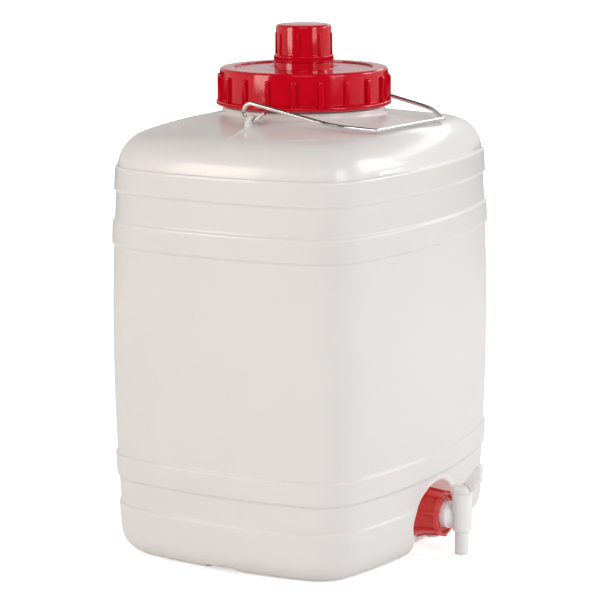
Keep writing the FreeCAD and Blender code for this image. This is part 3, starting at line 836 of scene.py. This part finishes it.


# %% [markdown]
# The body's plastic is white but not opaque: light goes in, spreads and comes out nearby, which subsurface
# scattering does. In the niche a faint painted glow, an emission that stands in for daylight through the thin
# wall, lightens the shade there. Its skin is satin, with a very fine grain, slow waves, and the mould's
# parting line at the lugs. All of it reads Object coordinates, so it stays put.

# %% Natural plastic
def natural_plastic(name, shade, rough, glow, line):
    r = Recipe(name)
    at = r.place()
    cloud = r.node("TexNoise", {"Vector": at, "Scale": 14.0, "Detail": 3.0, "Roughness": 0.55})
    colour = r.node("ValToRGB", {"Fac": cloud}, stops=[(0.3, [c * 0.975 for c in shade]), (0.7, shade)])
    streaks_at = r.node("Mapping", {"Vector": at, "Scale": (1.0, 1.0, 0.12)})
    streaks = r.node("TexNoise", {"Vector": streaks_at, "Scale": 420.0, "Detail": 2.0})
    grain = r.node("TexNoise", {"Vector": at, "Scale": 2600.0, "Detail": 1.0})
    waves = r.node("TexNoise", {"Vector": at, "Scale": 28.0, "Detail": 1.0})
    height = streaks * 0.000004 + grain * 0.0000015 + waves * 0.00022
    painted_niche_glow = (0.0, 0.0, 0.0, 1.0)
    if line:
        y = r.node("SeparateXYZ", {"Vector": at}, out="Y")
        z = r.node("SeparateXYZ", {"Vector": at}, out="Z")
        # Painted glow: a faint emission colour inside the niche's arch lightens the shade there, in place of
        # daylight through the thin wall.
        arch = (0, AXIS_Y - 0.1, 0.022)
        from_arch = r.node("VectorMath", {0: at, 1: arch}, out="Value", operation="DISTANCE")
        inside = from_arch.below(0.033, 0.006) * y.below(AXIS_Y - 0.092, 0.004)
        painted_niche_glow = r.node("ValToRGB", {"Fac": inside}, stops=[(0.0, (0, 0, 0)), (1.0, (0.12, 0.105, 0.095))])
        seam = abs(y - AXIS_Y).below(0.0002, 0.0008) * z.below(0.3215, 0.0004) * (1 - z.below(0.300, 0.006))
        height = height + seam * 0.00025
    bump = r.node("Bump", {"Strength": 1.0, "Distance": 1.0, "Height": height})
    skin = r.node("BsdfPrincipled", {
        "Base Color": colour, "Roughness": streaks * 0.05 + rough, "Normal": bump, "IOR": 1.5,
        "Emission Color": painted_niche_glow, "Emission Strength": 1.0, "Coat Weight": 0.32, "Coat Roughness": 0.07,
        "Specular IOR Level": 0.45, "Subsurface Weight": glow, "Subsurface Radius": (1.0, 0.85, 0.75),
        "Subsurface Scale": 0.002})
    return r.finish(skin)


drum_plastic = natural_plastic("natural_plastic", (0.805, 0.782, 0.766), 0.3, 0.35, True)
tap_plastic = natural_plastic("tap_plastic", (0.92, 0.90, 0.905), 0.18, 0.6, False)

# %% [markdown]
# The red mouldings are glossy and evenly dyed, with the slight waviness of thin plastic that cools unevenly
# and a little dust-fine roughness. The ring nut's red is paler and its skin duller. The seals are matte
# rubber, and the wire is bright plated steel with drawing lines along it.

# %% Red plastic, wire and rubber
def red_plastic(name, dark, light, rough):
    r = Recipe(name)
    at = r.place()
    cloud = r.node("TexNoise", {"Vector": at, "Scale": 40.0, "Detail": 2.0})
    colour = r.node("ValToRGB", {"Fac": cloud}, stops=[(0.35, dark), (0.7, light)])
    waves = r.node("TexNoise", {"Vector": at, "Scale": 70.0, "Detail": 1.0})
    grain = r.node("TexNoise", {"Vector": at, "Scale": 1800.0, "Detail": 1.0})
    bump = r.node("Bump", {"Strength": 1.0, "Distance": 1.0, "Height": waves * 0.00012 + grain * 0.000002})
    skin = r.node("BsdfPrincipled", {"Base Color": colour, "Roughness": cloud * 0.06 + rough, "Normal": bump,
                                     "IOR": 1.5, "Specular IOR Level": 0.45})
    return r.finish(skin)


def plated_wire():
    r = Recipe("plated_wire")
    at = r.place()
    lines_at = r.node("Mapping", {"Vector": at, "Scale": (1.0, 0.2, 1.0)})
    lines = r.node("TexNoise", {"Vector": lines_at, "Scale": 1500.0, "Detail": 2.0})
    cloud = r.node("TexNoise", {"Vector": at, "Scale": 90.0, "Detail": 2.0})
    colour = r.node("ValToRGB", {"Fac": cloud}, stops=[(0.3, (0.72, 0.71, 0.70)), (0.7, (0.80, 0.79, 0.78))])
    bump = r.node("Bump", {"Strength": 0.5, "Distance": 1.0, "Height": lines * 0.00003})
    skin = r.node("BsdfPrincipled", {"Base Color": colour, "Metallic": 1.0, "Roughness": lines * 0.1 + 0.2,
                                     "Normal": bump})
    return r.finish(skin)


def seal_rubber():
    r = Recipe("seal_rubber")
    grain = r.node("TexNoise", {"Vector": r.place(), "Scale": 900.0, "Detail": 2.0})
    colour = r.node("ValToRGB", {"Fac": grain}, stops=[(0.3, (0.60, 0.59, 0.56)), (0.7, (0.66, 0.65, 0.62))])
    bump = r.node("Bump", {"Strength": 0.6, "Distance": 1.0, "Height": grain * 0.00002})
    return r.finish(r.node("BsdfPrincipled", {"Base Color": colour, "Roughness": 0.7, "Normal": bump}))


# %% Dressing the pieces
red = red_plastic("red_plastic", (0.58, 0.0005, 0.011), (0.64, 0.001, 0.014), 0.06)
nut_red = red_plastic("nut_red_plastic", (0.68, 0.045, 0.042), (0.80, 0.07, 0.06), 0.14)
wire, rubber = plated_wire(), seal_rubber()
finishes = {
    drum_plastic: ["drum_shell", "bail_lug_left", "bail_lug_right", "neck_thread", "tap_boss"],
    red: ["screw_lid_red", "spout_cap_red"],
    nut_red: ["tap_ring_nut"],
    wire: ["wire_bail"],
    tap_plastic: ["tap_moulding", "tap_key_lever"],
}
for material, names in finishes.items():
    for name in names:
        pieces[name].data.materials.append(material)
for node in ("lid_gasket", "cap_liner", "tap_gasket"):
    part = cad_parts[node]
    part.data.materials.clear()
    part.data.materials.append(rubber)
print("materials", [m.name for m in finishes] + [rubber.name])

# %% [markdown]
# ## Stage, light and camera
#
# The photograph is a product picture on white. The floor and the world are white to the camera only, so the
# light on the drum can stand plain. In reflections the world is bright behind the drum and dark on the
# camera's side, which keeps the red deep. Soft area lamps stand round the drum at one distance: the front,
# right, side and fill lamps light the faces, and the wide, low rim lamp draws a fine line along the bands.

# %% Floor and world
floor_bm = bmesh.new()
bmesh.ops.create_grid(floor_bm, x_segments=1, y_segments=1, size=12.0)
floor_mesh = bpy.data.meshes.new("floor")
floor_bm.to_mesh(floor_mesh)
floor_bm.free()
floor = bpy.data.objects.new("floor", floor_mesh)
bpy.context.scene.collection.objects.link(floor)
paint = Recipe("floor_paint")
matt = paint.node("BsdfDiffuse", {"Color": (0.9, 0.9, 0.9, 1.0)})
seen = paint.node("LightPath", out="Is Camera Ray")
mirrored = paint.node("LightPath", out="Is Glossy Ray")
far = 1 - paint.node("VectorMath", {0: paint.place()}, out="Value", operation="LENGTH").below(0.5, 2.5)
white = paint.node("Emission", {"Strength": seen * (far * 0.45 + 0.55) + mirrored * (1 - far) * 0.15})
shown = paint.node("MixShader", {0: mirrored * far, 1: matt})
floor_mesh.materials.append(paint.finish(paint.node("AddShader", {0: shown, 1: white})))

CAMERA_WAY = (-0.855, -0.484, 0.188)
sky = Recipe("studio", bpy.data.worlds, "OutputWorld")
way = sky.node("TexCoord", out="Generated")
height = sky.node("SeparateXYZ", {"Vector": way}, out="Z")
facing = sky.node("VectorMath", {0: way, 1: CAMERA_WAY}, out="Value", operation="DOT_PRODUCT")
mirrored = sky.node("LightPath", out="Is Glossy Ray")
seen = sky.node("LightPath", out="Is Camera Ray")
in_mirror = (height.below(0.05, 0.9) * 0.8 + 0.1) * (facing.below(0.1, 0.7) * 0.88 + 0.05)
strength = mirrored * in_mirror + (1 - mirrored) * 0.5
strength = strength.maths("MAXIMUM", strength, seen)
bpy.context.scene.world = sky.finish(sky.node("Background", {"Strength": strength}))


# %% Lamps
LAMP_FAR, AIM_Z = 2.0, 0.2


def add_lamp(name, azimuth, height, size, power, colour=(1.0, 1.0, 1.0)):
    """An area lamp that faces the drum; azimuth is in degrees from the front towards +X."""
    data = bpy.data.lights.new(name, "AREA")
    data.shape, (data.size, data.size_y), data.energy, data.color = "RECTANGLE", size, power, colour
    lamp = bpy.data.objects.new(name, data)
    turn = math.radians(azimuth)
    lamp.location = (LAMP_FAR * math.sin(turn), AXIS_Y - LAMP_FAR * math.cos(turn), height)
    lamp.rotation_euler = (Vector((0, AXIS_Y, AIM_Z)) - lamp.location).to_track_quat("-Z", "Y").to_euler()
    bpy.context.scene.collection.objects.link(lamp)


add_lamp("front_lamp", -14, 1.0, (0.7, 0.9), 11)
add_lamp("right_lamp", 38, 1.0, (0.6, 0.9), 10)
add_lamp("side_lamp", -120, 0.9, (0.8, 0.9), 16, (1.0, 0.91, 0.82))
add_lamp("fill_lamp", -62, 1.6, (1.2, 0.8), 5)
add_lamp("rim_lamp", 78, 1.2, (2.2, 0.35), 7)

# %% Camera
AZIMUTH, ELEVATION, DISTANCE = math.radians(-60.51), math.radians(10.84), 1.8019
YAW, ROLL, FOCAL_PIXELS = math.radians(-0.11), math.radians(-0.21), 2438.2
level = math.cos(ELEVATION)
back = Vector((math.sin(AZIMUTH) * level, -math.cos(AZIMUTH) * level, math.sin(ELEVATION)))
right = Vector((math.cos(AZIMUTH), math.sin(AZIMUTH), 0))
spot = Vector((0, AXIS_Y, 0.17614)) + back * DISTANCE
forward = -back * math.cos(YAW) + right * math.sin(YAW)
right = right * math.cos(YAW) + back * math.sin(YAW)
up = right.cross(forward)
right, up = right * math.cos(ROLL) + up * math.sin(ROLL), up * math.cos(ROLL) - right * math.sin(ROLL)
camera_data = bpy.data.cameras.new("camera")
camera_data.sensor_width = 36.0
camera_data.lens = FOCAL_PIXELS / 600 * camera_data.sensor_width
camera_data.clip_end = 50.0
camera = bpy.data.objects.new("camera", camera_data)
camera.matrix_world = Matrix((right, up, -forward)).transposed().to_4x4()
camera.location = spot
bpy.context.scene.collection.objects.link(camera)
bpy.context.scene.camera = camera
bpy.context.scene.view_settings.view_transform = "Standard"
print("camera", [round(v, 4) for v in spot], "lens", round(camera_data.lens, 2))
